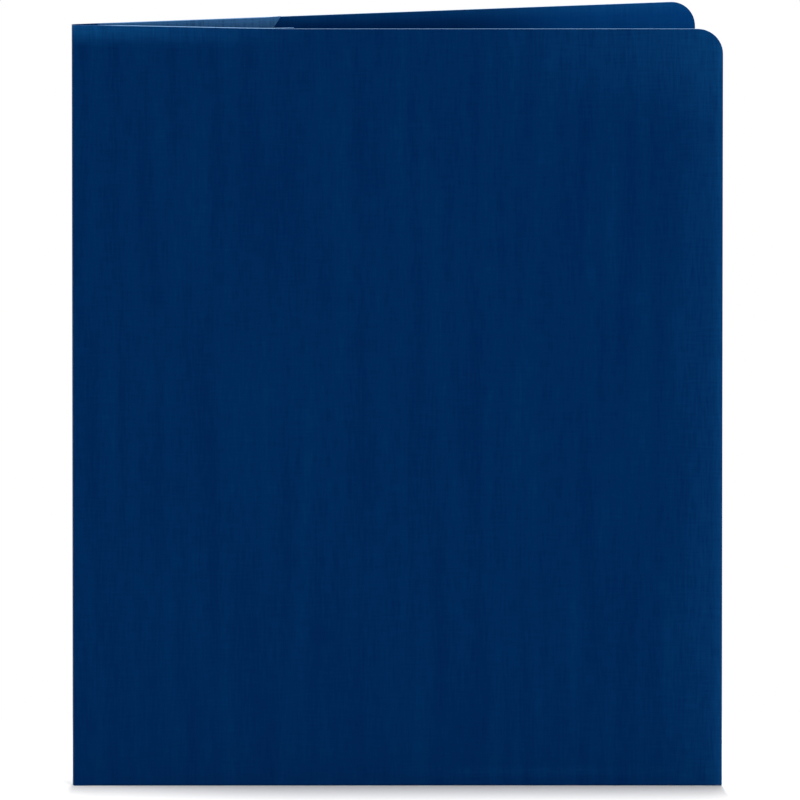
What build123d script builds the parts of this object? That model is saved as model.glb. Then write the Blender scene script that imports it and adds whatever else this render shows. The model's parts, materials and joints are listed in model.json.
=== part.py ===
from build123d import *

import os
from math import cos, hypot, radians, sin

# A letter-size two-pocket folder, standing on its lower edges a little open.
# It is one die-cut blank of embossed card, scored, folded and glued: two covers on a
# narrow spine, and inside each cover a pocket that is folded up from the lower edge,
# turned in at the outer edge as a glue tab, and cut to a sweeping contour along its mouth.
# The back half stands flat. The front half springs open at the head: it leans outwards in
# proportion to its height, past a bend that runs from the foot of the spine up to the head.
# +Z is up, the spine is at -X, the front cover faces -Y, and all sizes are millimetres.

# Covers and spine
COVER_WIDTH = 241.3
COVER_HEIGHT = 285.75
CARD = 0.4
CORNER_RADIUS = 9.5
HALF_OPENING = 8.2
SHEET_ROOM = 0.9

# Lean of the front half at its head, and the run from the crease to its bend there
FRONT_LEAN = 9.8
BEND_RUN = 88.0

# Scored creases on which the covers swing
CREASE_RISE = 0.15
CREASE_CLEARANCE = 0.05

# Pocket contour, measured from the crease and from the lower edge
POCKET_FLUSH_RUN = 82.0
POCKET_SIDE_HEIGHT = 111.0
CONTOUR_LEAN = 37.0
POCKET_FOOT_INSET = 4.8
POCKET_TOP_INSET = 9.6

# Glue tab behind the outer edge of each pocket, and the stripe of glue on it
TAB_WIDTH = 16.0
TAB_TAPER = 12.0
TAB_END_RELIEF = 1.5
TAB_GAP = 0.05
GLUE_THICKNESS = 0.1
GLUE_WIDTH = 8.0
GLUE_END_MARGIN = 2.0

# A layer is trimmed from a sheet this many times the cover, centred on the foot of the crease
OVERSIZE = 3

# Depths below the outer face of a cover, through the layers of a pocket
TAB_NEAR_DEPTH = CARD + GLUE_THICKNESS
TAB_FAR_DEPTH = TAB_NEAR_DEPTH + CARD
POCKET_NEAR_DEPTH = TAB_FAR_DEPTH + TAB_GAP
POCKET_FAR_DEPTH = POCKET_NEAR_DEPTH + CARD

# Folds are half rings of card from one layer to another
BOTTOM_FOLD_RADIUS = POCKET_FAR_DEPTH / 2
SIDE_FOLD_RADIUS = (POCKET_FAR_DEPTH - TAB_NEAR_DEPTH) / 2
POCKET_EDGE = COVER_WIDTH - SIDE_FOLD_RADIUS

# Heights of the glue tab, along its fold and along its free edge
TAB_FOOT = BOTTOM_FOLD_RADIUS + TAB_END_RELIEF
TAB_HEAD = POCKET_SIDE_HEIGHT - TAB_END_RELIEF
FREE_EDGE_FOOT = TAB_FOOT + TAB_TAPER
FREE_EDGE_HEAD = TAB_HEAD - TAB_TAPER

# The spine leaves room for both pockets and some sheets when the covers are closed
SPINE_WIDTH = 2 * POCKET_FAR_DEPTH - CARD + SHEET_ROOM
CREASE_RADIUS = CARD / 2 + CREASE_RISE
COVER_COS = cos(radians(HALF_OPENING))
COVER_SIN = sin(radians(HALF_OPENING))
LEAN_SLOPE = FRONT_LEAN / COVER_HEIGHT
BEND_SLOPE = FRONT_LEAN / BEND_RUN

# The origin is under the middle of the folder's box, so the leaning front half,
# which reaches furthest out round its rounded corner, moves the spine towards the back
REACH = COVER_WIDTH * COVER_COS + (POCKET_FAR_DEPTH - CARD / 2) * COVER_SIN
LEAN_RISE = LEAN_SLOPE * COVER_COS
CORNER_LOSS = CORNER_RADIUS * (COVER_SIN + LEAN_RISE - hypot(COVER_SIN, LEAN_RISE))
SPINE_Y = (COVER_HEIGHT * LEAN_RISE - CORNER_LOSS) / 2
CREASE_X = (CREASE_RADIUS - REACH) / 2
CREASE_Y = SPINE_Y - SPINE_WIDTH / 2

SPINE_MIDDLE = Plane.XZ.offset(-SPINE_Y)
FRONT_PLANE = Plane(
    origin=(CREASE_X, CREASE_Y, 0),
    x_dir=(COVER_COS, -COVER_SIN, 0),
    z_dir=(-COVER_SIN, -COVER_COS, 0),
)


def section(across, up, depth, x_dir, z_dir):
    """Plane for a cross-section at a point of the front cover."""
    origin = FRONT_PLANE.from_local_coords((across, up, CARD / 2 - depth))
    return Plane(origin=origin, x_dir=x_dir, z_dir=z_dir)


def trim(outline, mode):
    """Cut a piece with an outline, seen square to the flat cover."""
    reach = FRONT_LEAN + POCKET_FAR_DEPTH
    extrude(outline(FRONT_PLANE), amount=reach, both=True, mode=mode)


def layer(outline, near, far, across_slope=0, up_slope=0):
    """Layer of card with an outline, between two depths, tilted outwards across and up the cover."""
    tilted = Plane(
        origin=FRONT_PLANE.from_local_coords((0, 0, CARD / 2 - far)),
        x_dir=FRONT_PLANE.x_dir + FRONT_PLANE.z_dir * across_slope,
        z_dir=FRONT_PLANE.z_dir - FRONT_PLANE.x_dir * across_slope - FRONT_PLANE.y_dir * up_slope,
    )
    with BuildSketch(tilted) as sheet:
        Rectangle(OVERSIZE * COVER_WIDTH, OVERSIZE * COVER_HEIGHT)
    extrude(sheet.sketch, amount=far - near, dir=FRONT_PLANE.z_dir)
    trim(outline, Mode.INTERSECT)


def leaning_layer(outline, near, far):
    """Layer of the front half past the bend."""
    layer(outline, near, far, up_slope=LEAN_SLOPE)
    trim(bend_outline, Mode.SUBTRACT)


def bend_layer(outline, near, far):
    """Layer of the front half between the crease and the bend."""
    layer(outline, near, far, across_slope=BEND_SLOPE)
    trim(bend_outline, Mode.INTERSECT)


def bend_outline(plane):
    """Triangle between the crease and the bend, from the foot of the spine up to the head."""
    with BuildSketch(plane) as outline:
        with BuildLine():
            Polyline((0, 0), (BEND_RUN, COVER_HEIGHT), (0, COVER_HEIGHT), close=True)
        make_face()
    return outline.sketch


def cover_outline(plane):
    """Outline of a cover: a toe beside the spine, the bottom fold's edge, one round corner."""
    with BuildSketch(plane) as outline:
        with BuildLine():
            Polyline(
                (0, 0),
                (POCKET_FOOT_INSET, 0),
                (POCKET_FOOT_INSET, BOTTOM_FOLD_RADIUS),
                (COVER_WIDTH, BOTTOM_FOLD_RADIUS),
                (COVER_WIDTH, COVER_HEIGHT),
                (0, COVER_HEIGHT),
                close=True,
            )
        make_face()
        top_corner = outline.vertices().sort_by(Axis.X)[-2:].sort_by(Axis.Y)[-1]
        fillet(top_corner, CORNER_RADIUS)
    return outline.sketch


def pocket_outline(plane):
    """Outline of a pocket: tall beside the spine, swept down in one arc to the outer edge."""
    with BuildSketch(plane) as outline:
        with BuildLine():
            contour_tangent = (-sin(radians(CONTOUR_LEAN)), -cos(radians(CONTOUR_LEAN)))
            contour = TangentArc(
                (POCKET_FLUSH_RUN, COVER_HEIGHT),
                (POCKET_EDGE, POCKET_SIDE_HEIGHT),
                tangent=contour_tangent,
            )
            Polyline(
                contour @ 1,
                (POCKET_EDGE, BOTTOM_FOLD_RADIUS),
                (POCKET_FOOT_INSET, BOTTOM_FOLD_RADIUS),
                (POCKET_TOP_INSET, COVER_HEIGHT),
                contour @ 0,
            )
        make_face()
    return outline.sketch


def tab_outline(plane):
    """Outline of a glue tab: a strip that is cut back towards its free edge."""
    with BuildSketch(plane) as outline:
        with BuildLine():
            Polyline(
                (POCKET_EDGE, TAB_FOOT),
                (POCKET_EDGE, TAB_HEAD),
                (POCKET_EDGE - TAB_WIDTH, FREE_EDGE_HEAD),
                (POCKET_EDGE - TAB_WIDTH, FREE_EDGE_FOOT),
                close=True,
            )
        make_face()
    return outline.sketch


def glue_outline(plane):
    """Outline of a glue line: a stripe with round ends along the middle of the tab."""
    with BuildSketch(plane) as outline:
        with Locations((POCKET_EDGE - TAB_WIDTH / 2, (FREE_EDGE_FOOT + FREE_EDGE_HEAD) / 2)):
            SlotOverall(
                FREE_EDGE_HEAD - FREE_EDGE_FOOT - 2 * GLUE_END_MARGIN,
                GLUE_WIDTH,
                rotation=90,
            )
    return outline.sketch


def crease_rod(radius, mode=Mode.ADD):
    """Rod along the front hinge line, from the foot to the head."""
    with Locations((CREASE_X, CREASE_Y)):
        Cylinder(
            radius,
            COVER_HEIGHT,
            align=(Align.CENTER, Align.CENTER, Align.MIN),
            mode=mode,
        )


def side_fold(slope):
    """Half ring that turns a pocket's outer edge in towards the cover, on a slope."""
    ring_depth = TAB_NEAR_DEPTH + SIDE_FOLD_RADIUS - slope * BOTTOM_FOLD_RADIUS
    level = section(
        POCKET_EDGE,
        BOTTOM_FOLD_RADIUS,
        ring_depth,
        x_dir=FRONT_PLANE.x_dir,
        z_dir=FRONT_PLANE.y_dir,
    )
    with BuildSketch(level) as ring:
        with BuildLine():
            CenterArc((0, 0), SIDE_FOLD_RADIUS - CARD / 2, -90, 180)
        trace(line_width=CARD)
    extrude(
        ring.sketch,
        amount=(POCKET_SIDE_HEIGHT - BOTTOM_FOLD_RADIUS) * hypot(1, slope),
        dir=FRONT_PLANE.y_dir + FRONT_PLANE.z_dir * slope,
    )


# Covers: panels with one rounded corner, hollowed along the crease
# The front half's cover and pocket are in two pieces each, which meet at the bend
with BuildPart() as front_cover:
    leaning_layer(cover_outline, 0, CARD)
    crease_rod(CREASE_RADIUS + CREASE_CLEARANCE, mode=Mode.SUBTRACT)

with BuildPart() as front_cover_bend:
    bend_layer(cover_outline, 0, CARD)
    crease_rod(CREASE_RADIUS + CREASE_CLEARANCE, mode=Mode.SUBTRACT)

with BuildPart() as back_cover:
    layer(cover_outline, 0, CARD)
    crease_rod(CREASE_RADIUS + CREASE_CLEARANCE, mode=Mode.SUBTRACT)
    mirror(about=SPINE_MIDDLE, mode=Mode.REPLACE)

# Scored creases: raised beads of card along the hinge lines
with BuildPart() as front_spine_crease:
    crease_rod(CREASE_RADIUS)

with BuildPart() as back_spine_crease:
    mirror(front_spine_crease.part, about=SPINE_MIDDLE)

# Bottom folds: half rings that carry a cover's card round into its pocket
with BuildPart() as front_bottom_fold:
    bottom_section = section(
        POCKET_FOOT_INSET,
        BOTTOM_FOLD_RADIUS,
        BOTTOM_FOLD_RADIUS,
        x_dir=-FRONT_PLANE.z_dir,
        z_dir=FRONT_PLANE.x_dir,
    )
    with BuildSketch(bottom_section):
        with BuildLine():
            CenterArc((0, 0), BOTTOM_FOLD_RADIUS - CARD / 2, 180, 180)
        trace(line_width=CARD)
    extrude(amount=COVER_WIDTH - POCKET_FOOT_INSET)

with BuildPart() as back_bottom_fold:
    mirror(front_bottom_fold.part, about=SPINE_MIDDLE)

# Pockets
with BuildPart() as front_pocket:
    leaning_layer(pocket_outline, POCKET_NEAR_DEPTH, POCKET_FAR_DEPTH)

with BuildPart() as front_pocket_bend:
    bend_layer(pocket_outline, POCKET_NEAR_DEPTH, POCKET_FAR_DEPTH)

with BuildPart() as back_pocket:
    layer(pocket_outline, POCKET_NEAR_DEPTH, POCKET_FAR_DEPTH)
    mirror(about=SPINE_MIDDLE, mode=Mode.REPLACE)

# Side folds, up the outer edge of each pocket
with BuildPart() as front_side_fold:
    side_fold(LEAN_SLOPE)

with BuildPart() as back_side_fold:
    side_fold(0)
    mirror(about=SPINE_MIDDLE, mode=Mode.REPLACE)

# Glue tabs, between each pocket and its cover
with BuildPart() as front_glue_tab:
    leaning_layer(tab_outline, TAB_NEAR_DEPTH, TAB_FAR_DEPTH)

with BuildPart() as back_glue_tab:
    layer(tab_outline, TAB_NEAR_DEPTH, TAB_FAR_DEPTH)
    mirror(about=SPINE_MIDDLE, mode=Mode.REPLACE)

# Glue lines that hold the tabs to the covers
with BuildPart() as front_tab_glue:
    leaning_layer(glue_outline, CARD, TAB_NEAR_DEPTH)

with BuildPart() as back_tab_glue:
    layer(glue_outline, CARD, TAB_NEAR_DEPTH)
    mirror(about=SPINE_MIDDLE, mode=Mode.REPLACE)

# Spine: narrow panel between the two creases, seated on their beads
with BuildPart() as spine_panel:
    with BuildSketch():
        with Locations((CREASE_X, SPINE_Y)):
            Rectangle(CARD, SPINE_WIDTH)
        with Locations((CREASE_X, CREASE_Y), (CREASE_X, CREASE_Y + SPINE_WIDTH)):
            Circle(CREASE_RADIUS, mode=Mode.SUBTRACT)
    extrude(amount=COVER_HEIGHT)

PIECES = {
    "spine_panel": spine_panel,
    "front_spine_crease": front_spine_crease,
    "front_cover": front_cover,
    "front_cover_bend": front_cover_bend,
    "front_bottom_fold": front_bottom_fold,
    "front_pocket": front_pocket,
    "front_pocket_bend": front_pocket_bend,
    "front_side_fold": front_side_fold,
    "front_glue_tab": front_glue_tab,
    "front_tab_glue": front_tab_glue,
    "back_spine_crease": back_spine_crease,
    "back_cover": back_cover,
    "back_bottom_fold": back_bottom_fold,
    "back_pocket": back_pocket,
    "back_side_fold": back_side_fold,
    "back_glue_tab": back_glue_tab,
    "back_tab_glue": back_tab_glue,
}

os.makedirs("parts", exist_ok=True)
for piece_name, piece in PIECES.items():
    piece.part.label = piece_name
    export_step(piece.part, f"parts/{piece_name}.step")
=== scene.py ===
import json
from math import atan2, cos, pi, radians, sin, sqrt, tan

import bpy
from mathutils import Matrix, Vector


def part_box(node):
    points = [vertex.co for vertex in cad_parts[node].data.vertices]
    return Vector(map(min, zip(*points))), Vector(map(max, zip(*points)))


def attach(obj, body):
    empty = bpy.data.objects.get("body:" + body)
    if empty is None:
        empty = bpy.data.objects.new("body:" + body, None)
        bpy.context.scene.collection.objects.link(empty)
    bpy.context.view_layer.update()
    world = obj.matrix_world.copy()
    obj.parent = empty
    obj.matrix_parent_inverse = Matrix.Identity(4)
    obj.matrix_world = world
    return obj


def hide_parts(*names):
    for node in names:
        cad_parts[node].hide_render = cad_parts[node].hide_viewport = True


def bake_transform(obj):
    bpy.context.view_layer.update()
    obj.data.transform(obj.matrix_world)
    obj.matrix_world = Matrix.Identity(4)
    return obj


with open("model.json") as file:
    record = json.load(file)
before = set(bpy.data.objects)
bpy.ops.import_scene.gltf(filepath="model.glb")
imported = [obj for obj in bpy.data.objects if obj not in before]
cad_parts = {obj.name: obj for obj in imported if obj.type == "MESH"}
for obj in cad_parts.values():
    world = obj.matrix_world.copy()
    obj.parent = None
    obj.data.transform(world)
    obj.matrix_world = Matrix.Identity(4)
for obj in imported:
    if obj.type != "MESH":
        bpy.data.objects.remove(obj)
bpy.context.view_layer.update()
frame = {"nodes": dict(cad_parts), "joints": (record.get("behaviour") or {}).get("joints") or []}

# A two-pocket folder of navy embossed card. The card is drawn as the flat blank that it is cut from,
# and one function folds each point of the blank to its place in the standing folder.
# s runs along the blank from the middle of the spine, positive over the front and negative over the back.
# t is the height on a cover, and runs on below it round the bottom fold and up the pocket.

MM = 0.001

# Sizes read from the frame
HINGES = {joint["name"]: joint for joint in frame["joints"]}
CREASE_X, FRONT_CREASE_Y = HINGES["front_cover_hinge"]["pos_m"][:2]
BACK_CREASE_Y = HINGES["back_cover_hinge"]["pos_m"][1]
HALF_SPINE = (BACK_CREASE_Y - FRONT_CREASE_Y) / 2
SPINE_Y = FRONT_CREASE_Y + HALF_SPINE
HALF_OPENING = -radians(HINGES["front_cover_hinge"]["range_deg"][0])
SPINE_LOW, SPINE_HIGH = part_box("spine_panel")
CARD = SPINE_HIGH.x - SPINE_LOW.x
HEIGHT = SPINE_HIGH.z
COVER_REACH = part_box("back_cover")[1].x - CREASE_X
COVER_WIDTH = (COVER_REACH - CARD / 2 * sin(HALF_OPENING)) / cos(HALF_OPENING)
FOLD_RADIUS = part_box("front_pocket")[0].z
POCKET_SIDE_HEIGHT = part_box("front_side_fold")[1].z

# Cut and fold sizes of the blank
CORNER_RADIUS = 9.5 * MM
CREASE_BEND = 0.5 * MM
SEAM_SETBACK = 0.3 * MM
CUT_BEVEL = 0.03 * MM
POCKET_FLUSH_RUN = {"front": 82.0 * MM, "back": 80.2 * MM}
CONTOUR_LEAN = radians(37.0)
POCKET_FOOT_INSET = 4.8 * MM
POCKET_TOP_INSET = 9.6 * MM
TAB_WIDTH = 16.0 * MM
TAB_TAPER = 12.0 * MM
TAB_END_RELIEF = 1.5 * MM
GLUE_THICKNESS = 0.1 * MM
GLUE_WIDTH = 8.0 * MM
GLUE_END_MARGIN = 2.0 * MM
GLUE_END_TURN = radians(80.0)
GLUE_BEVEL = 0.02 * MM

# The card's own spring: both covers lean to the front towards their heads,
# the front one past a soft bend that fans out from the foot of the spine
FRONT_LEAN = 9.8 * MM
BEND_RUN = 88.0 * MM
BACK_LEAN = 1.9 * MM
FOOT_ROLL = 0.25 * MM
FOOT_ROLL_HEIGHT = 6.0 * MM
FOOT_ROLL_MIDDLE = 170.0 * MM
FOOT_ROLL_RUN = 70.0 * MM
MOUTH_EASE = 0.3 * MM
HORN_LIFT = 0.3 * MM
HORN_LIFT_RUN = 8.0 * MM

# Folded layers, measured at the middle of the card
FOLD_BEND = FOLD_RADIUS - CARD / 2
POCKET_BEHIND = 2 * FOLD_BEND
TAB_BEHIND = CARD + GLUE_THICKNESS
SIDE_BEND = (POCKET_BEHIND - TAB_BEHIND) / 2
POCKET_EDGE = COVER_WIDTH - SIDE_BEND - CARD / 2

# Places along the blank. The spine's piece and a cover's meet at a seam set back from the crease.
CREASE_TURN = pi / 2 - HALF_OPENING
CREASE_TANGENT = CREASE_BEND * tan(CREASE_TURN / 2)
CREASE_START = HALF_SPINE - CREASE_TANGENT
CREASE_END = CREASE_START + CREASE_BEND * CREASE_TURN
SPINE_SEAM = CREASE_START - SEAM_SETBACK
FOLD_SEAM = FOLD_RADIUS - pi * FOLD_BEND
SEAM_TOLERANCE = 0.01 * MM

# Number of mesh cells over each stretch of card
SPINE_CELLS = 6
SETBACK_CELLS = 2
CREASE_CELLS = 10
TOE_CELLS = 4
COVER_CELLS = 44
CORNER_CELLS = 12
BOTTOM_FOLD_CELLS = 12
POCKET_SPINE_CELLS = 36
POCKET_FOOT_CELLS = 32
POCKET_MOUTH_CELLS = 16
SIDE_FOLD_CELLS = 10
TAB_CELLS = 4
GLUE_CELLS = 6

# Points of the blank that agree to this many decimals of a millimetre are one
POINT_DECIMALS = 4
SHARP_EDGE = radians(30.0)


def along(u):
    """Place on the blank of a distance from the crease, measured on the cover."""
    return CREASE_END + u - CREASE_TANGENT


def pocket_t(z):
    """Place on the blank of a height on the pocket."""
    return FOLD_SEAM - (z - FOLD_RADIUS)


def on_spine_seam(s, t):
    """Whether a point of the blank is where the spine's piece and a cover's meet."""
    return abs(abs(s) - SPINE_SEAM) < SEAM_TOLERANCE


def on_fold_seam(s, t):
    """Whether a point of the blank is where a cover's piece and its pocket's meet."""
    return abs(t - FOLD_SEAM) < SEAM_TOLERANCE


def spread(start, end, count):
    """Evenly spaced values from start to end, both included."""
    return [start + (end - start) * k / count for k in range(count + 1)]


def eased(start, end, count):
    """Values from start to end that lie closer together near both."""
    return [start + (end - start) * (1 - cos(pi * k / count)) / 2 for k in range(count + 1)]


def smooth(x):
    """Soft step from 0 to 1."""
    x = min(max(x, 0.0), 1.0)
    return x * x * (3 - 2 * x)


def spring(front, u, z):
    """How far a cover stands out of its plane, by the card's own spring."""
    if front:
        lean = FRONT_LEAN * smooth(u * HEIGHT / (BEND_RUN * max(z, FOLD_RADIUS)))
    else:
        lean = -BACK_LEAN * max(u, 0.0) / COVER_WIDTH
    roll = FOOT_ROLL * smooth(2 - 2 * abs(u - FOOT_ROLL_MIDDLE) / FOOT_ROLL_RUN)
    return lean * z / HEIGHT - roll * max(0.0, 1 - z / FOOT_ROLL_HEIGHT) ** 2


def round_fold(travel, radius):
    """Advance, sideways shift and turn of card that has travelled this far into a half-turn fold."""
    turn = min(max(travel, 0.0) / radius, pi)
    advance = radius * sin(turn) - max(0.0, travel - pi * radius)
    return advance, radius * (1 - cos(turn)), turn


def round_crease(reach):
    """Plan position and heading at a distance along the front half of the blank."""
    if reach < CREASE_START:
        return CREASE_X, -reach, -pi / 2
    turn = min((reach - CREASE_START) / CREASE_BEND, CREASE_TURN)
    heading = turn - pi / 2
    past = max(0.0, reach - CREASE_END)
    x = CREASE_X + CREASE_BEND * (1 - cos(turn)) + past * cos(heading)
    y = -CREASE_START - CREASE_BEND * sin(turn) + past * sin(heading)
    return x, y, heading


def folded(s, t, lift, behind):
    """Where a point of the blank stands in the folded folder.

    lift is measured from the middle of the card towards its outer side, and behind is how far
    the card lies towards the inside of the folder, past where its folds would put it.
    """
    reach, z = abs(s), t
    bottom_turn = side_turn = 0.0
    if t < FOLD_RADIUS and reach >= along(POCKET_FOOT_INSET):
        advance, shift, bottom_turn = round_fold(FOLD_RADIUS - t, FOLD_BEND)
        z = FOLD_RADIUS - advance
        behind += shift
    if t < FOLD_SEAM and reach > along(POCKET_EDGE):
        advance, shift, side_turn = round_fold(reach - along(POCKET_EDGE), SIDE_BEND)
        reach = along(POCKET_EDGE) + advance
        behind -= shift
    x, y, heading = round_crease(reach)
    out = lift * cos(bottom_turn) * cos(side_turn) - behind + spring(s > 0, reach - along(0.0), z)
    ahead = lift * sin(side_turn)
    x += out * sin(heading) + ahead * cos(heading)
    y += ahead * sin(heading) - out * cos(heading)
    z -= lift * sin(bottom_turn)
    return Vector((x, SPINE_Y + (y if s >= 0 else -y), z))


class Sheet:
    """A piece of card as points of the blank and the four-sided cells between them."""

    def __init__(self):
        self.points = []
        self.index = {}
        self.cells = []

    def point(self, s, t, behind, apart):
        """Number of a point, which is new unless one of the same place and the same apart name exists."""
        key = (round(s / MM, POINT_DECIMALS), round(t / MM, POINT_DECIMALS), apart)
        if key not in self.index:
            self.index[key] = len(self.points)
            self.points.append((s, t, behind))
        return self.index[key]

    def patch(self, grid, apart=lambda s, t: ""):
        """Adds a grid of (s, t, behind). Points that the apart function names alike are shared."""
        rows = [[self.point(*p, apart(p[0], p[1])) for p in row] for row in grid]
        for row, after in zip(rows, rows[1:]):
            for k in range(len(row) - 1):
                cell = [row[k], after[k], after[k + 1], row[k + 1]]
                self.cells.append(cell if self.double_area(cell) > 0 else cell[::-1])

    def double_area(self, cell):
        """Twice the area of a cell on the blank, above 0 if its corners run anticlockwise."""
        corners = [self.points[k] for k in cell]
        pairs = zip(corners, corners[1:] + corners[:1])
        return sum(a[0] * b[1] - b[0] * a[1] for a, b in pairs)

    def mirrored(self):
        """The same sheet on the other half of the blank."""
        other = Sheet()
        other.points = [(-s, t, behind) for s, t, behind in self.points]
        other.cells = [cell[::-1] for cell in self.cells]
        return other

    def rim_edges(self):
        """Edges of one cell only, with the card on their left."""
        edges = [(a, b) for cell in self.cells for a, b in zip(cell, cell[1:] + cell[:1])]
        known = set(edges)
        return [(a, b) for a, b in edges if (b, a) not in known]

    def outward(self, edges):
        """For each point on these edges, the step that widens the sheet by one unit there."""
        normals = {}
        for a, b in edges:
            ds = self.points[b][0] - self.points[a][0]
            dt = self.points[b][1] - self.points[a][1]
            normal = Vector((dt, -ds)).normalized()
            normals.setdefault(a, []).append(normal)
            normals.setdefault(b, []).append(normal)
        steps = {}
        for k, found in normals.items():
            total = sum(found, Vector((0, 0)))
            steps[k] = total if len(found) == 1 else total * 2 / max(total.length_squared, 1.0)
        return steps

    def build(self, name, materials, joins=(), thickness=CARD, bevel=CUT_BEVEL):
        """Mesh object with an outer face, an inner face and bevelled rims along its cut edges.

        joins are tests for points where the card is not cut, but runs on into another piece.
        """
        edges = self.rim_edges()
        joined = {k for k, point in enumerate(self.points) if any(test(*point[:2]) for test in joins)}
        seams = {edge for edge in edges if joined.issuperset(edge)}
        steps = self.outward([edge for edge in edges if edge not in seams])
        verts, blank = [], []

        def vertex(k, lift, inset):
            s, t, behind = self.points[k]
            step = steps.get(k, Vector((0, 0)))
            s, t = s - inset * step.x, t - inset * step.y
            verts.append(folded(s, t, lift, behind))
            blank.append((s, t, 0))
            return len(verts) - 1

        half = thickness / 2
        count = range(len(self.points))
        outer = [vertex(k, half, bevel) for k in count]
        inner = [vertex(k, -half, bevel) for k in count]
        on_rim = sorted({k for edge in edges for k in edge})
        upper = {k: vertex(k, half - bevel, 0) for k in on_rim}
        lower = {k: vertex(k, bevel - half, 0) for k in on_rim}
        faces = [[outer[k] for k in cell] for cell in self.cells]
        faces += [[inner[k] for k in reversed(cell)] for cell in self.cells]
        slots = [0] * len(self.cells) + [1] * len(self.cells)
        for a, b in edges:
            for high, low in ((outer, upper), (upper, lower), (lower, inner)):
                faces.append([low[a], low[b], high[b], high[a]])
                slots.append(0 if (a, b) in seams else 2)
        mesh = bpy.data.meshes.new(name)
        mesh.from_pydata(verts, [], faces)
        mesh.polygons.foreach_set("material_index", slots)
        mesh.shade_smooth()
        mesh.set_sharp_from_angle(angle=SHARP_EDGE)
        place = mesh.attributes.new("blank", "FLOAT_VECTOR", "POINT")
        place.data.foreach_set("vector", [value for point in blank for value in point])
        for material in materials:
            mesh.materials.append(material)
        piece = bpy.data.objects.new(name, mesh)
        bpy.context.scene.collection.objects.link(piece)
        return piece


# Card pieces on the blank

COVER_ROWS = eased(FOLD_RADIUS, HEIGHT, COVER_CELLS)


def spine_sheet():
    """The flat strip between the two creases."""
    sheet = Sheet()
    rows = [0.0] + COVER_ROWS
    sheet.patch([[(s, t, 0.0) for t in rows] for s in spread(-SPINE_SEAM, SPINE_SEAM, SPINE_CELLS)])
    return sheet


def cover_sheet():
    """Crease, cover and bottom fold, with the rounded head corner."""
    sheet = Sheet()
    foot, end = along(POCKET_FOOT_INSET), along(COVER_WIDTH)
    corner = end - CORNER_RADIUS

    def head(s):
        over = min(max(0.0, s - corner), CORNER_RADIUS)
        return HEIGHT - CORNER_RADIUS + sqrt(CORNER_RADIUS**2 - over**2)

    def column(s):
        rise = (head(s) - FOLD_RADIUS) / (HEIGHT - FOLD_RADIUS)
        return [(s, FOLD_RADIUS + (t - FOLD_RADIUS) * rise, 0.0) for t in COVER_ROWS]

    def fold_column(s):
        taper = (COVER_WIDTH - POCKET_EDGE) * (s - foot) / (end - foot)
        rows = spread(FOLD_SEAM, FOLD_RADIUS, BOTTOM_FOLD_CELLS)
        return [(s - taper * (FOLD_RADIUS - t) / (FOLD_RADIUS - FOLD_SEAM), t, 0.0) for t in rows]

    strip = spread(SPINE_SEAM, CREASE_START, SETBACK_CELLS)
    strip += spread(CREASE_START, CREASE_END, CREASE_CELLS)[1:]
    strip += spread(CREASE_END, foot, TOE_CELLS)[1:]
    main = eased(foot, corner, COVER_CELLS)
    main += [corner + CORNER_RADIUS * sin(a) for a in spread(0, pi / 2, CORNER_CELLS)[1:]]
    toe = [[(s, 0.0, 0.0), (s, FOLD_RADIUS, 0.0)] for s in strip]
    sheet.patch([column(s) for s in strip + main[1:]])
    sheet.patch(toe, lambda s, t: "toe" if t <= 0 else "")
    sheet.patch([fold_column(s) for s in main])
    return sheet


def contour(flush_run, share):
    """Point of the pocket's mouth, from its spine side at 0 to the outer edge at 1."""
    start = Vector((flush_run, HEIGHT))
    chord = Vector((POCKET_EDGE, POCKET_SIDE_HEIGHT)) - start
    inward = Vector((cos(CONTOUR_LEAN), -sin(CONTOUR_LEAN)))
    radius = chord.length_squared / (2 * chord.dot(inward))
    centre = start + inward * radius
    end = start + chord - centre
    sweep = (atan2(end.y, end.x) - atan2(-inward.y, -inward.x)) % (2 * pi)
    angle = atan2(-inward.y, -inward.x) + sweep * share
    return centre + radius * Vector((cos(angle), sin(angle)))


def pocket_sheet(flush_run):
    """Pocket panel with its side fold and glue tab."""
    sheet = Sheet()
    top = Vector((POCKET_TOP_INSET, HEIGHT))
    foot = Vector((POCKET_FOOT_INSET, FOLD_RADIUS))
    heel = Vector((POCKET_EDGE, FOLD_RADIUS))
    path = [top.lerp(foot, k) for k in spread(0, 1, POCKET_SPINE_CELLS)]
    path += [foot.lerp(heel, k) for k in spread(0, 1, POCKET_FOOT_CELLS)[1:]]
    across = spread(0, 1, POCKET_MOUTH_CELLS)
    grid = []
    for k, start in enumerate(path):
        share = k / (len(path) - 1)
        line = []
        for v in across:
            u, z = start.lerp(contour(flush_run, share), v)
            lift = HORN_LIFT * smooth((u - flush_run) / HORN_LIFT_RUN + 1) if k == 0 else 0.0
            line.append((along(u), pocket_t(z + lift), MOUTH_EASE * v**2 * (1 - share**4)))
        grid.append(line)
    sheet.patch(grid)
    ring = pi * SIDE_BEND

    def strip(past):
        inset = TAB_END_RELIEF * min(past / ring, 1.0) + TAB_TAPER * max(0.0, past - ring) / TAB_WIDTH
        low, high = pocket_t(FOLD_RADIUS + inset), pocket_t(POCKET_SIDE_HEIGHT - inset)
        return [(along(POCKET_EDGE) + past, low + (high - low) * v, 0.0) for v in across]

    runs = spread(0, ring, SIDE_FOLD_CELLS) + spread(ring, ring + TAB_WIDTH, TAB_CELLS)[1:]
    sheet.patch([strip(past) for past in runs])
    return sheet


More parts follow.
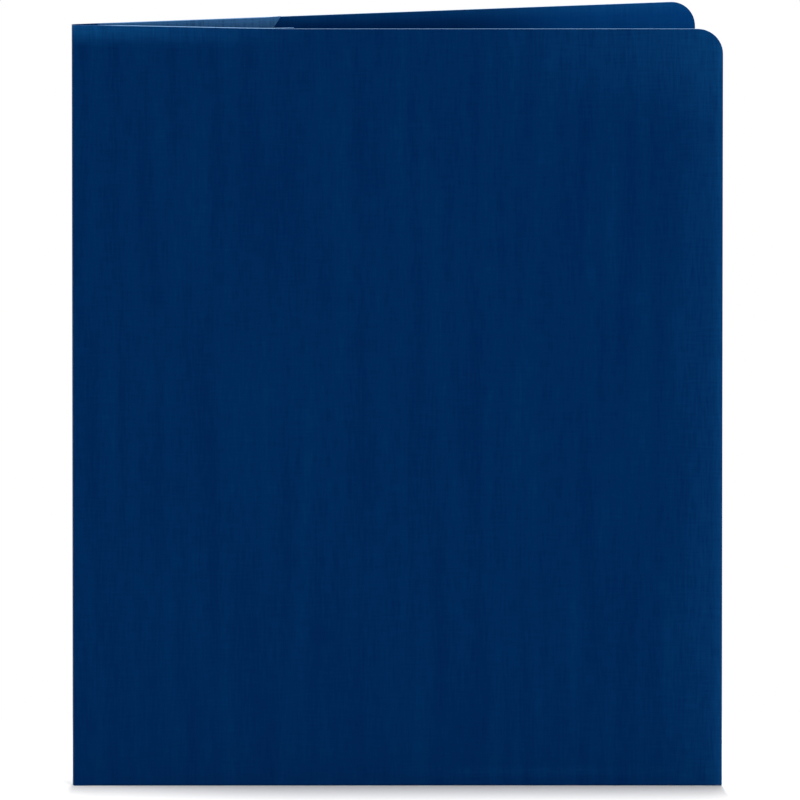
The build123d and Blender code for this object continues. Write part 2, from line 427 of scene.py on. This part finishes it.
def glue_sheet():
    """Stripe of glue between the tab and the cover."""
    sheet = Sheet()
    radius = GLUE_WIDTH / 2
    middle = along(POCKET_EDGE - TAB_WIDTH / 2)
    end = TAB_END_RELIEF + TAB_TAPER + GLUE_END_MARGIN + radius
    low = FOLD_RADIUS + end
    high = POCKET_SIDE_HEIGHT - end
    behind = (CARD + GLUE_THICKNESS) / 2
    turns = spread(0, GLUE_END_TURN, GLUE_CELLS)
    stations = [(low - radius * sin(a), radius * cos(a)) for a in reversed(turns)]
    stations += [(high + radius * sin(a), radius * cos(a)) for a in turns]
    across = spread(-1, 1, GLUE_CELLS)
    sheet.patch([[(middle + half * v, t, behind) for v in across] for t, half in stations])
    return sheet


# Materials

NAVY_DARK = (0.0001, 0.0158, 0.0838, 1)
NAVY_LIGHT = (0.0003, 0.0266, 0.1085, 1)
# Paler navy for painted light and highlights on the card faces, also the colour of cut edges crushed beside
# the crease
NAVY_PAINTED_LIGHT_AND_CRUSHED_CORE = (0.006, 0.08, 0.25, 1)
INSIDE_DARK = (0.0002, 0.0405, 0.192, 1)
INSIDE_LIGHT = (0.0004, 0.0535, 0.222, 1)
POCKET_DARK = (0.001, 0.029, 0.115, 1)
POCKET_LIGHT = (0.003, 0.043, 0.15, 1)
# Pale blue for the painted sheen down from each pocket's head
POCKET_PAINTED_SHEEN = (0.071, 0.246, 0.535, 1)
CORE_DARK = (0.18, 0.39, 0.68, 1)
CORE_LIGHT = (0.29, 0.53, 0.86, 1)
GLOSS_TINT = (0.03, 0.35, 1.0, 1)
GLUE_CLEAR = (0.7, 0.66, 0.5, 1)
GLUE_CLOUDY = (0.82, 0.8, 0.7, 1)

# Marks of the linen emboss, the grain and the bare fibres
THREAD = 0.8 * MM
THREAD_RUN = 9.0 * MM
STREAK = 7.0 * MM
STREAK_RUN = 90.0 * MM
FIBRE = 0.25 * MM
FIBRE_DETAIL = 4.0
EMBOSS = 0.03 * MM
WARP_SHARE = 0.62
WEFT_SHARE = 0.38
WEAVE_SHARE = 0.6
STREAK_SHARE = 0.4

# Range that most of a noise lies in, over which a colour goes from dark to light
NOISE_RANGE = (0.32, 0.68)

# Roughness, and the painted light's strength, from the low threads or fibres to the high ones
CARD_ROUGHNESS = (0.65, 0.45)
CORE_ROUGHNESS = (0.9, 0.75)
GLUE_ROUGHNESS = (0.5, 0.35)
THREAD_HIGHLIGHT = (0.0, 2.0)
CARD_GLOSS = 0.04
BARE_GLOSS = 0.2

# Where the print is painted paler to stand in for light and highlights, and how strongly
# Painted highlight along a cover's head beside the spine: its depth, its run from the spine and its
# strength
HEAD_HIGHLIGHT = 8.6 * MM
HEAD_HIGHLIGHT_RUN = 95.0 * MM
HEAD_HIGHLIGHT_STRENGTH = 0.52
# Painted light along a cover's fore edge, as from a lamp at the side
FORE_EDGE_LIGHT = 27.0 * MM
FORE_EDGE_LIGHT_STRENGTH = 0.125
# Painted highlight on the last few millimetres of a cover's fore edge
RIM_HIGHLIGHT = 4.2 * MM
RIM_HIGHLIGHT_STRENGTH = 0.22
# Painted pool of light at a cover's head corner: its half lengths along the head and down the edge, and its
# strength
CORNER_LIGHT_REACH = (108.0 * MM, 42.0 * MM)
CORNER_LIGHT_STRENGTH = 0.18
# Painted highlight along the bend just above a cover's foot
FOOT_HIGHLIGHT_HEIGHT = 5.5 * MM
FOOT_HIGHLIGHT_SPREAD = 3.0 * MM
FOOT_HIGHLIGHT_STRENGTH = 0.06
# Painted light along a cover's inside head and at its inside head corner
INSIDE_HEAD_LIGHT = 5.0 * MM
INSIDE_HEAD_LIGHT_STRENGTH = 0.5
INSIDE_CORNER_LIGHT_STRENGTH = 0.17
# Painted sheen down from a pocket's head, over this run
POCKET_HEAD = pocket_t(HEIGHT)
POCKET_SHEEN_RUN = 34.0 * MM

# Cut edges are crushed dark this near to the crease, and clear from this far on
CRUSHED_CORE = (8.0 * MM, 20.0 * MM)

# Sockets of the mix node that take two colours and give their mix
MIX_FIRST = 6
MIX_SECOND = 7
MIX_RESULT = 2


def add(tree, kind, inputs, **settings):
    """New node with its settings, and each input set to a value or joined to another node's output."""
    node = tree.nodes.new(kind)
    for name, value in settings.items():
        setattr(node, name, value)
    for name, value in inputs.items():
        if isinstance(value, bpy.types.NodeSocket):
            tree.links.new(value, node.inputs[name])
        else:
            node.inputs[name].default_value = value
    return node


def new_material(name):
    """Material with nodes, and its node tree."""
    material = bpy.data.materials.new(name)
    material.use_nodes = True
    return material, material.node_tree


def maths(tree, operation, first, second=0.0):
    """One step of arithmetic on values."""
    return add(tree, "ShaderNodeMath", {0: first, 1: second}, operation=operation).outputs[0]


def vectors(tree, operation, *operands, output="Vector"):
    """One step of arithmetic on vectors."""
    inputs = dict(enumerate(operands))
    return add(tree, "ShaderNodeVectorMath", inputs, operation=operation).outputs[output]


def weighted(tree, *parts):
    """Sum of values, each times its weight."""
    total = 0.0
    for value, weight in parts:
        total = maths(tree, "ADD", total, maths(tree, "MULTIPLY", value, weight))
    return total


def ramp(tree, factor, dark, light):
    """Colour that runs from dark to light as a noise rises."""
    node = add(tree, "ShaderNodeValToRGB", {"Fac": factor})
    for stop, position, colour in zip(node.color_ramp.elements, NOISE_RANGE, (dark, light)):
        stop.position = position
        stop.color = colour
    return node.outputs["Color"]


def blended(tree, factor, first, second):
    """Colour that is the first where the factor is 0, and the second where it is 1."""
    inputs = {0: factor, MIX_FIRST: first, MIX_SECOND: second}
    return add(tree, "ShaderNodeMix", inputs, data_type="RGBA").outputs[MIX_RESULT]


def span(tree, value, low, high):
    """A factor of 0 to 1 stretched to run from low to high."""
    return add(tree, "ShaderNodeMapRange", {"Value": value, "To Min": low, "To Max": high}).outputs[0]


def fade(tree, value, start, end):
    """Soft step from 0 at start to 1 at end."""
    inputs = {"Value": value, "From Min": start, "From Max": end}
    return add(tree, "ShaderNodeMapRange", inputs, interpolation_type="SMOOTHSTEP").outputs[0]


def peak(tree, value, middle, reach):
    """Soft peak of 1 at a middle value, down to 0 at this reach from it."""
    offset = maths(tree, "ABSOLUTE", maths(tree, "SUBTRACT", value, middle))
    return fade(tree, offset, reach, 0.0)


def blank_place(tree):
    """Place on the flat blank, as stored with each point of the card."""
    return add(tree, "ShaderNodeAttribute", {}, attribute_name="blank").outputs["Vector"]


def cover_place(tree):
    """Place on a cover, front or back: distances from the middle of the spine and from the foot."""
    return vectors(tree, "ABSOLUTE", blank_place(tree))


def from_spine_and_foot(tree):
    """The two distances of a place on a cover, as values."""
    split = add(tree, "ShaderNodeSeparateXYZ", {"Vector": cover_place(tree)}).outputs
    return split["X"], split["Y"]


def noise(tree, across, run, detail=1.0):
    """Noise on the blank, drawn out into marks of this width and length."""
    scale = (1 / across, 1 / run, 1)
    stretched = add(tree, "ShaderNodeMapping", {"Vector": blank_place(tree), "Scale": scale}).outputs[0]
    return add(tree, "ShaderNodeTexNoise", {"Vector": stretched, "Scale": 1.0, "Detail": detail}).outputs[0]


def painted_corner_light(tree):
    """Painted pool of light at the head corner of a cover."""
    corner = (along(COVER_WIDTH), HEIGHT, 0)
    offset = vectors(tree, "SUBTRACT", cover_place(tree), corner)
    share = vectors(tree, "DIVIDE", offset, (*CORNER_LIGHT_REACH, 1))
    return fade(tree, vectors(tree, "LENGTH", share, output="Value"), 1.0, 0.0)


def painted_cover_light(tree):
    """Painted light and highlights outside a cover: at its head beside the spine, its fore edge, head
    corner and foot.
    """
    reach, height = from_spine_and_foot(tree)
    head = fade(tree, height, HEIGHT - HEAD_HIGHLIGHT, HEIGHT)
    beside = fade(tree, reach, along(HEAD_HIGHLIGHT_RUN), along(0.0))
    low = peak(tree, height, FOOT_HIGHLIGHT_HEIGHT, FOOT_HIGHLIGHT_SPREAD)
    above_roll = peak(tree, reach, along(FOOT_ROLL_MIDDLE), FOOT_ROLL_RUN)
    return weighted(
        tree,
        (maths(tree, "MULTIPLY", head, beside), HEAD_HIGHLIGHT_STRENGTH),
        (fade(tree, reach, along(COVER_WIDTH - FORE_EDGE_LIGHT), along(COVER_WIDTH)), FORE_EDGE_LIGHT_STRENGTH),
        (fade(tree, reach, along(COVER_WIDTH - RIM_HIGHLIGHT), along(COVER_WIDTH)), RIM_HIGHLIGHT_STRENGTH),
        (painted_corner_light(tree), CORNER_LIGHT_STRENGTH),
        (maths(tree, "MULTIPLY", low, above_roll), FOOT_HIGHLIGHT_STRENGTH),
    )


def painted_inside_light(tree):
    """Painted light inside a cover: at its head and its head corner."""
    height = from_spine_and_foot(tree)[1]
    head = fade(tree, height, HEIGHT - INSIDE_HEAD_LIGHT, HEIGHT)
    return weighted(tree, (head, INSIDE_HEAD_LIGHT_STRENGTH), (painted_corner_light(tree), INSIDE_CORNER_LIGHT_STRENGTH))


def painted_pocket_sheen(tree):
    """Painted sheen at the head of a pocket, fading down from it."""
    place = add(tree, "ShaderNodeSeparateXYZ", {"Vector": blank_place(tree)})
    head = fade(tree, place.outputs["Y"], POCKET_HEAD + POCKET_SHEEN_RUN, POCKET_HEAD)
    return maths(tree, "MULTIPLY", head, head)


def embossed_card(name, dark, light, emboss, painted_light_mask, painted_light_colour):
    """Printed card with a linen emboss: crossing threads, faint streaks along the grain, and a paler colour
    mixed in where a mask paints light and highlights.
    """
    material, tree = new_material(name)
    shader = tree.nodes["Principled BSDF"]
    warp = noise(tree, THREAD, THREAD_RUN)
    weft = noise(tree, THREAD_RUN, THREAD)
    streaks = noise(tree, STREAK, STREAK_RUN)
    weave = weighted(tree, (warp, WARP_SHARE), (weft, WEFT_SHARE))
    tone = weighted(tree, (weave, WEAVE_SHARE), (streaks, STREAK_SHARE))
    # Painted light and highlights, stronger on the high threads of the weave
    painted_light = maths(tree, "MULTIPLY", painted_light_mask(tree), span(tree, weave, *THREAD_HIGHLIGHT))
    colour = blended(tree, painted_light, ramp(tree, tone, dark, light), painted_light_colour)
    bump = add(tree, "ShaderNodeBump", {"Height": weave, "Strength": 1.0, "Distance": emboss})
    tree.links.new(colour, shader.inputs["Base Color"])
    tree.links.new(span(tree, weave, *CARD_ROUGHNESS), shader.inputs["Roughness"])
    tree.links.new(bump.outputs[0], shader.inputs["Normal"])
    shader.inputs["Specular IOR Level"].default_value = CARD_GLOSS
    shader.inputs["Specular Tint"].default_value = GLOSS_TINT
    return material


def fibrous(name, dark, light, roughness, crushed=None):
    """Bare board or dried glue, mottled by its fibres. A crushed colour takes over beside the crease."""
    material, tree = new_material(name)
    shader = tree.nodes["Principled BSDF"]
    mottle = noise(tree, FIBRE, FIBRE, FIBRE_DETAIL)
    colour = ramp(tree, mottle, dark, light)
    if crushed:
        near, clear = CRUSHED_CORE
        beside = fade(tree, from_spine_and_foot(tree)[0], along(clear), along(near))
        colour = blended(tree, beside, colour, crushed)
    tree.links.new(colour, shader.inputs["Base Color"])
    tree.links.new(span(tree, mottle, *roughness), shader.inputs["Roughness"])
    shader.inputs["Specular IOR Level"].default_value = BARE_GLOSS
    return material


# Each card mixes in a paler colour where its mask paints light and highlights
outer_card = embossed_card("outer_card", NAVY_DARK, NAVY_LIGHT, EMBOSS, painted_cover_light, NAVY_PAINTED_LIGHT_AND_CRUSHED_CORE)
inner_card = embossed_card("inner_card", INSIDE_DARK, INSIDE_LIGHT, EMBOSS / 2, painted_inside_light, NAVY_PAINTED_LIGHT_AND_CRUSHED_CORE)
pocket_card = embossed_card("pocket_card", POCKET_DARK, POCKET_LIGHT, EMBOSS, painted_pocket_sheen, POCKET_PAINTED_SHEEN)
card_core = fibrous("card_core", CORE_DARK, CORE_LIGHT, CORE_ROUGHNESS, NAVY_PAINTED_LIGHT_AND_CRUSHED_CORE)
dried_glue = fibrous("dried_glue", GLUE_CLEAR, GLUE_CLOUDY, GLUE_ROUGHNESS)

# Materials of the outer face, the inner face and the cut edges
COVER_FINISH = (outer_card, inner_card, card_core)
POCKET_FINISH = (pocket_card, inner_card, card_core)
GLUE_FINISH = (dried_glue, dried_glue, dried_glue)

# Pieces of the folder


def stand_for(piece, side, *names):
    """Let a piece replace the nodes of these names that its side has."""
    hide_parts(*[f"{side}_{name}" for name in names if f"{side}_{name}" in frame["nodes"]])


spine = spine_sheet().build("spine_strip", COVER_FINISH, [on_spine_seam])
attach(spine, "spine")
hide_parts("spine_panel")

for side, sign in (("front", 1), ("back", -1)):
    body = f"{side}_cover"
    forms = cover_sheet(), pocket_sheet(POCKET_FLUSH_RUN[side]), glue_sheet()
    cover_form, pocket_form, glue_form = forms if sign > 0 else [form.mirrored() for form in forms]

    cover = cover_form.build(f"{side}_cover_sheet", COVER_FINISH, [on_spine_seam, on_fold_seam])
    start = folded(sign * CREASE_START, 0, 0, 0)
    end = folded(sign * CREASE_END, 0, 0, 0)
    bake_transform(cover)
    stand_for(cover, side, "cover", "cover_bend", "spine_crease", "bottom_fold")

    pocket = pocket_form.build(f"{side}_pocket_sheet", POCKET_FINISH, [on_fold_seam])
    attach(pocket, body)
    stand_for(pocket, side, "pocket", "pocket_bend", "side_fold", "glue_tab")

    glue = glue_form.build(f"{side}_glue_line", GLUE_FINISH, thickness=GLUE_THICKNESS, bevel=GLUE_BEVEL)
    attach(glue, body)
    stand_for(glue, side, "tab_glue")

# Floor, light and camera

WHITE = (1, 1, 1, 1)
WORLD_LIGHT = 0.3

# The floor is pale over an oval with the half lengths FLOOR_NEAR, and white from FLOOR_FADE times those on
FLOOR_NEAR = (0.16, 0.13)
FLOOR_FADE = 1.5
FLOOR_REACH = 2.4
FLOOR_PALE = (0.8, 0.8, 0.8, 1)
FLOOR_BOUNCE = (0.35, 0.35, 0.35, 1)

# A narrow strip light far above the folder's fore edge, which runs from front to back
OVERHEAD_X = 0.12
OVERHEAD_Y = SPINE_Y + 0.198
OVERHEAD_HEIGHT = 14.0
OVERHEAD_SIZE = (0.1, 2.17)
OVERHEAD_POWER = 1835.0

# Softboxes that face the folder's middle: azimuth, elevation, distance, width, length and power
MIDDLE = Vector((0, SPINE_Y, HEIGHT / 2))
SOFTBOXES = {
    "key": (-12, 2, 2.5, 1.8, 0.9, 25.6),
    "side": (45, 2, 1.6, 0.5, 0.4, 7.4),
    "left": (-80, 10, 2.0, 1.0, 1.0, 9.0),
    "rear": (170, 20, 2.0, 1.2, 1.2, 20.0),
}

CAMERA_LENS = 1500.0
CAMERA_AZIMUTH = -8.2
CAMERA_ELEVATION = 8.181
CAMERA_DISTANCE = 12.4031
CAMERA_NEAREST = 1.0
CAMERA_AIM = Vector((CREASE_X + 120.48 * MM, SPINE_Y - 16.49 * MM, 144.8 * MM))


def bearing(azimuth, elevation):
    """Direction from the folder towards this azimuth and elevation, in degrees."""
    flat = cos(radians(elevation))
    return Vector((sin(radians(azimuth)) * flat, -cos(radians(azimuth)) * flat, sin(radians(elevation))))


def area_light(name, place, aim, width, length, power):
    """Rectangular light at a place, turned to face a point."""
    light = bpy.data.lights.new(name, "AREA")
    light.shape = "RECTANGLE"
    light.size = width
    light.size_y = length
    light.energy = power
    lamp = bpy.data.objects.new(name, light)
    lamp.location = place
    lamp.rotation_euler = (Vector(aim) - Vector(place)).to_track_quat("-Z", "Y").to_euler()
    lamp.visible_camera = False
    bpy.context.scene.collection.objects.link(lamp)


def make_lights():
    """The overhead strip and the softboxes."""
    above = (OVERHEAD_X, OVERHEAD_Y, OVERHEAD_HEIGHT)
    below = (OVERHEAD_X, OVERHEAD_Y, 0)
    area_light("overhead", above, below, *OVERHEAD_SIZE, OVERHEAD_POWER)
    for name, (azimuth, elevation, distance, width, length, power) in SOFTBOXES.items():
        place = MIDDLE + bearing(azimuth, elevation) * distance
        area_light(name, place, MIDDLE, width, length, power)


def seen_or_lit(tree, seen, lit):
    """Shader that shows one way to the camera and in reflections, and another way as a source of light."""
    path = add(tree, "ShaderNodeLightPath", {})
    looks = maths(tree, "MAXIMUM", path.outputs["Is Camera Ray"], path.outputs["Is Glossy Ray"])
    looks = maths(tree, "MAXIMUM", looks, path.outputs["Is Transmission Ray"])
    return add(tree, "ShaderNodeMixShader", {0: looks, 1: lit, 2: seen}).outputs[0]


def make_floor():
    """Pale floor that takes the folder's shadow, and runs out to white around it."""
    material, tree = new_material("floor")
    tree.nodes.remove(tree.nodes["Principled BSDF"])
    near = (1 / FLOOR_NEAR[0], 1 / FLOOR_NEAR[1], 1)
    place = add(tree, "ShaderNodeTexCoord", {}).outputs["Object"]
    scaled = vectors(tree, "MULTIPLY", place, near)
    distance = vectors(tree, "LENGTH", scaled, output="Value")
    pale = add(tree, "ShaderNodeBsdfDiffuse", {"Color": FLOOR_PALE}).outputs[0]
    white = add(tree, "ShaderNodeEmission", {"Color": WHITE, "Strength": 1.0}).outputs[0]
    seen = add(tree, "ShaderNodeMixShader", {0: fade(tree, distance, 1.0, FLOOR_FADE), 1: pale, 2: white})
    bounce = add(tree, "ShaderNodeBsdfDiffuse", {"Color": FLOOR_BOUNCE}).outputs[0]
    mixed = seen_or_lit(tree, seen.outputs[0], bounce)
    tree.links.new(mixed, tree.nodes["Material Output"].inputs["Surface"])
    r = FLOOR_REACH
    mesh = bpy.data.meshes.new("floor")
    mesh.from_pydata([(-r, -r, 0), (r, -r, 0), (r, r, 0), (-r, r, 0)], [], [(0, 1, 2, 3)])
    mesh.materials.append(material)
    floor = bpy.data.objects.new("floor", mesh)
    floor.location.y = SPINE_Y
    bpy.context.scene.collection.objects.link(floor)


def make_world():
    """White surroundings that give a soft light from all sides."""
    world = bpy.data.worlds.new("studio")
    world.use_nodes = True
    tree = world.node_tree
    lit = add(tree, "ShaderNodeBackground", {"Color": WHITE, "Strength": WORLD_LIGHT}).outputs[0]
    seen = add(tree, "ShaderNodeBackground", {"Color": WHITE, "Strength": 1.0}).outputs[0]
    tree.links.new(seen_or_lit(tree, seen, lit), tree.nodes["World Output"].inputs["Surface"])
    bpy.context.scene.world = world


def make_camera():
    """Long lens, from a little above the folder and square to its front cover."""
    data = bpy.data.cameras.new("camera")
    data.lens = CAMERA_LENS
    data.clip_start = CAMERA_NEAREST
    data.clip_end = 2 * CAMERA_DISTANCE
    camera = bpy.data.objects.new("camera", data)
    back = bearing(CAMERA_AZIMUTH, CAMERA_ELEVATION)
    camera.location = CAMERA_AIM + back * CAMERA_DISTANCE
    camera.rotation_euler = (-back).to_track_quat("-Z", "Y").to_euler()
    bpy.context.scene.collection.objects.link(camera)
    bpy.context.scene.camera = camera


make_floor()
make_world()
make_camera()
make_lights()

bpy.context.scene.view_settings.view_transform = "Standard"
